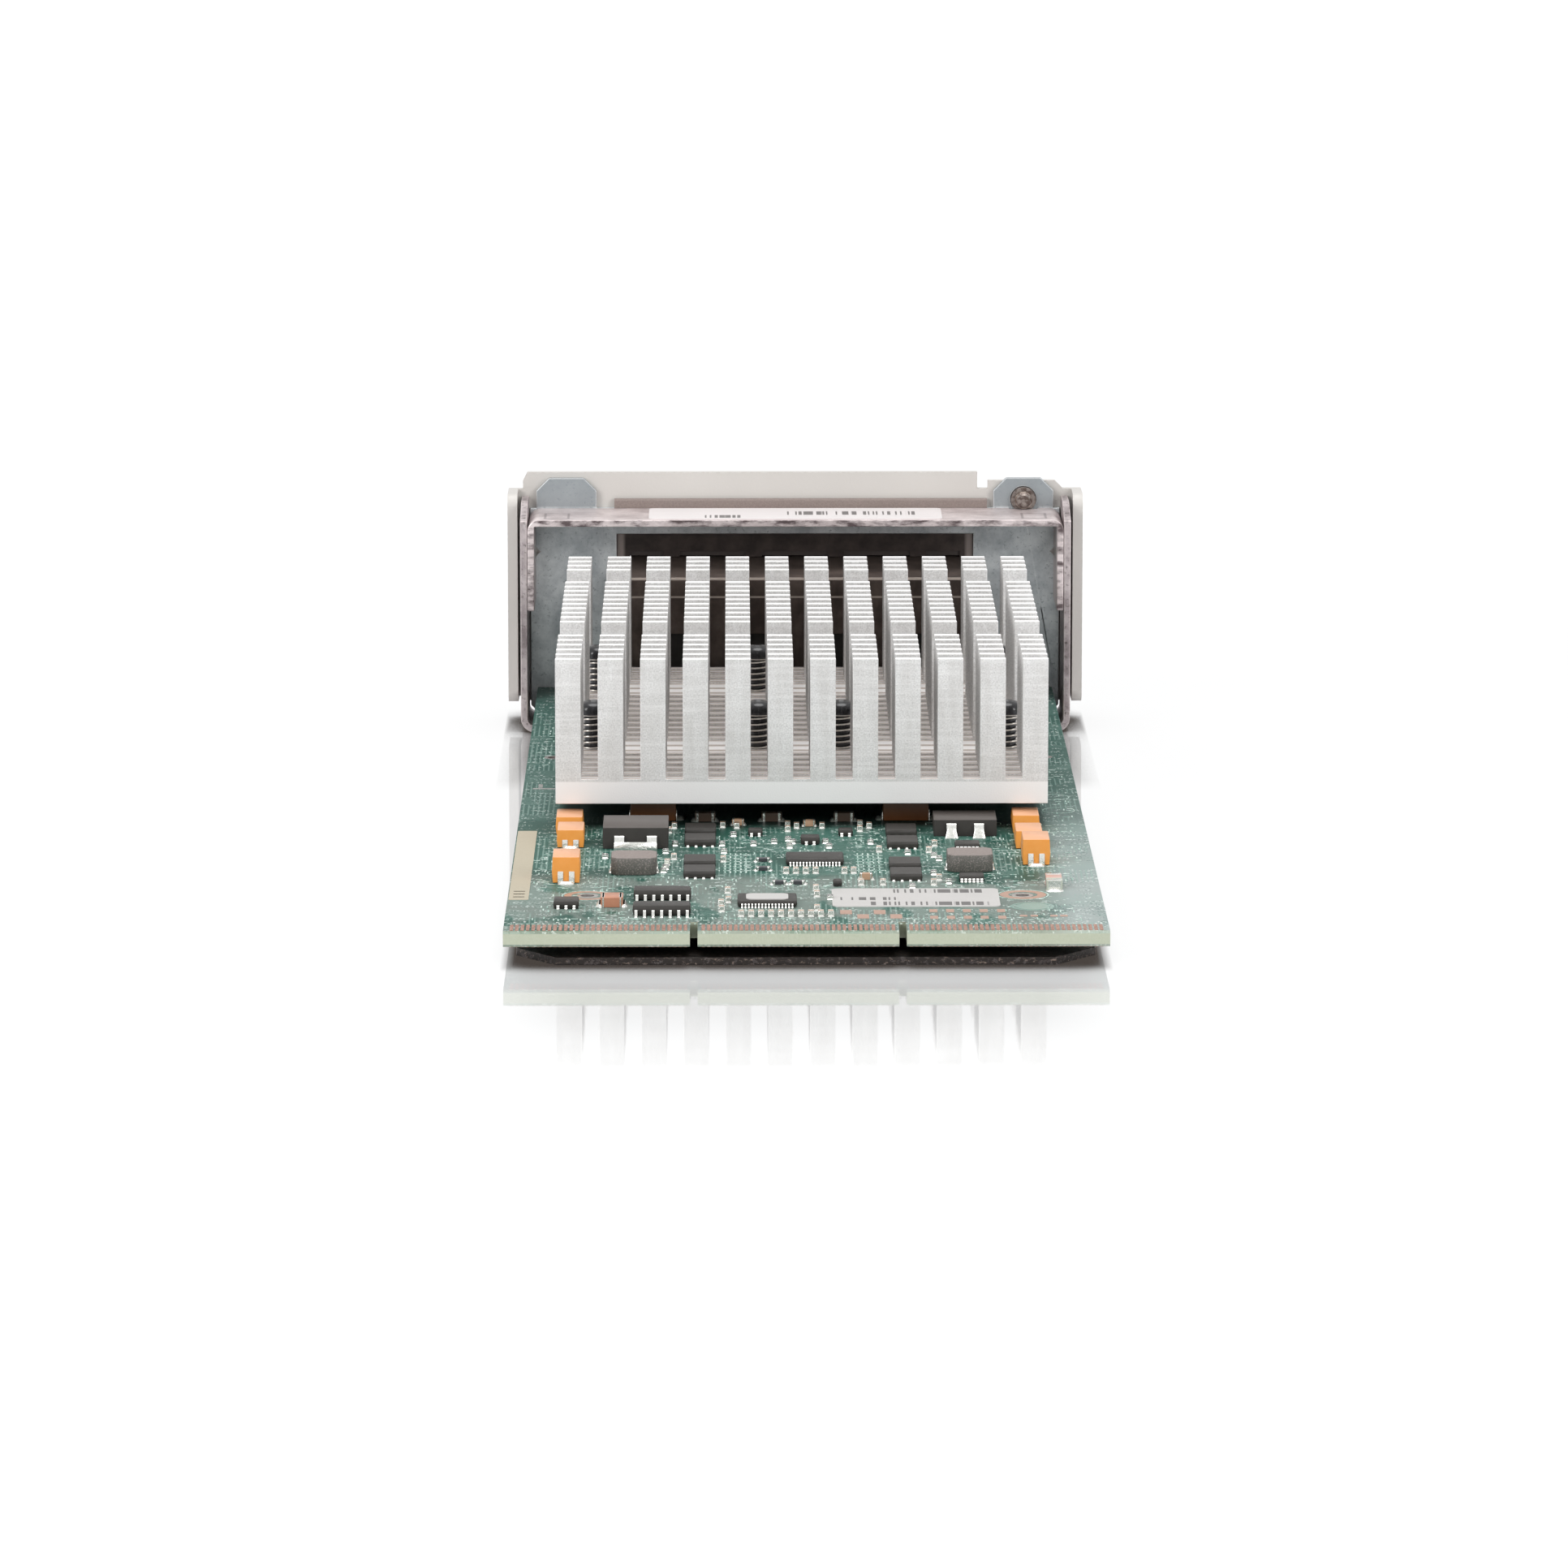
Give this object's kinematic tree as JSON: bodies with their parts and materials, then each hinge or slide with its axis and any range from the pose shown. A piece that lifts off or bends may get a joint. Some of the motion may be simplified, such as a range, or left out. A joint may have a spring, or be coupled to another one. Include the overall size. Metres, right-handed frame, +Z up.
{
  "type": "switch line card",
  "caption": "Hot-plug switch line card: edge-connector board on a steel tray, cross-cut heat sink on sprung push pins, stacked port cage and painted bezel.",
  "frame": {"origin": "middle of the footprint at the underside of the tray", "axes": "+X to the right seen from the edge connector, +Y from the edge connector to the ports, +Z up"},
  "size_m": [0.0992, 0.2406, 0.043],
  "materials": {
    "board": "glossy green solder mask",
    "gold": "worn gold plating",
    "dark_steel": "dark worn steel",
    "plain_steel": "plain steel",
    "zinc": "zinc plated",
    "worn_steel": "worn steel",
    "paint": "smooth satin paint",
    "gasket": "soft conductive foam",
    "cage": "tarnished steel",
    "heat_sink": "matte blasted",
    "pad": "soft",
    "chip_lid": "nickel plated lid",
    "black_plastic": "moulded",
    "tin": "tinned",
    "tantalum": "moulded",
    "choke": "pressed powder",
    "ceramic": "fired ceramic",
    "spring_wire": "bright wire",
    "label": "blank printed film"
  },
  "bodies": {
    "card": {"bezel": "paint", "board_label": "label", "board_standoffs": "plain_steel", "bridge_strap": "worn_steel", "cage_collar": "cage", "cage_separators": "cage", "cage_shelves": "cage", "ceramic_capacitors": "ceramic", "chip_label": "label", "chokes": "choke", "circuit_board": "board", "contact_fingers": "gold", "emi_gasket_strip": "gasket", "face_panel": "zinc", "fine_pitch_chips": "black_plastic", "fine_pitch_leads": "tin", "heat_sink": "heat_sink", "pin_spring_1": "spring_wire", "pin_spring_2": "spring_wire", "pin_spring_3": "spring_wire", "pin_spring_4": "spring_wire", "pin_spring_5": "spring_wire", "pin_spring_6": "spring_wire", "pin_spring_7": "spring_wire", "port_cage": "cage", "port_connectors": "black_plastic", "power_transistors": "black_plastic", "screw_retainer": "plain_steel", "small_chips": "black_plastic", "small_outline_chips": "black_plastic", "small_outline_leads": "tin", "strap_label": "label", "strap_rivets": "plain_steel", "switch_chip_left": "chip_lid", "switch_chip_right": "chip_lid", "tantalum_capacitors": "tantalum", "thermal_pads": "pad", "transistor_leads": "tin", "tray": "dark_steel", "tray_screws": "plain_steel"},
    "push_pin_1": {"push_pin_1": "black_plastic"},
    "push_pin_2": {"push_pin_2": "black_plastic"},
    "push_pin_3": {"push_pin_3": "black_plastic"},
    "push_pin_4": {"push_pin_4": "black_plastic"},
    "push_pin_5": {"push_pin_5": "black_plastic"},
    "push_pin_6": {"push_pin_6": "black_plastic"},
    "push_pin_7": {"push_pin_7": "black_plastic"},
    "captive_screw": {"captive_screw": "plain_steel"}
  },
  "joints": [
    {"name": "push_pin_1_slide", "type": "slide", "parent": "card", "child": "push_pin_1", "axis": [0, 0, -1], "range_m": [0, 0.0008], "stiffness_N_per_m": 300, "springref_m": -0.002, "deforming": ["pin_spring_1"]},
    {"name": "push_pin_2_slide", "type": "slide", "parent": "card", "child": "push_pin_2", "axis": [0, 0, -1], "range_m": [0, 0.0008], "stiffness_N_per_m": 300, "springref_m": -0.002, "deforming": ["pin_spring_2"]},
    {"name": "push_pin_3_slide", "type": "slide", "parent": "card", "child": "push_pin_3", "axis": [0, 0, -1], "range_m": [0, 0.0008], "stiffness_N_per_m": 300, "springref_m": -0.002, "deforming": ["pin_spring_3"]},
    {"name": "push_pin_4_slide", "type": "slide", "parent": "card", "child": "push_pin_4", "axis": [0, 0, -1], "range_m": [0, 0.0008], "stiffness_N_per_m": 300, "springref_m": -0.002, "deforming": ["pin_spring_4"]},
    {"name": "push_pin_5_slide", "type": "slide", "parent": "card", "child": "push_pin_5", "axis": [0, 0, -1], "range_m": [0, 0.0008], "stiffness_N_per_m": 300, "springref_m": -0.002, "deforming": ["pin_spring_5"]},
    {"name": "push_pin_6_slide", "type": "slide", "parent": "card", "child": "push_pin_6", "axis": [0, 0, -1], "range_m": [0, 0.0008], "stiffness_N_per_m": 300, "springref_m": -0.002, "deforming": ["pin_spring_6"]},
    {"name": "push_pin_7_slide", "type": "slide", "parent": "card", "child": "push_pin_7", "axis": [0, 0, -1], "range_m": [0, 0.0008], "stiffness_N_per_m": 300, "springref_m": -0.002, "deforming": ["pin_spring_7"]},
    {"name": "captive_screw_turn", "type": "hinge", "parent": "card", "child": "captive_screw", "pos_m": [0.03955, 0.1047, 0.03845], "axis": [0, 1, 0], "continuous": true}
  ]
}
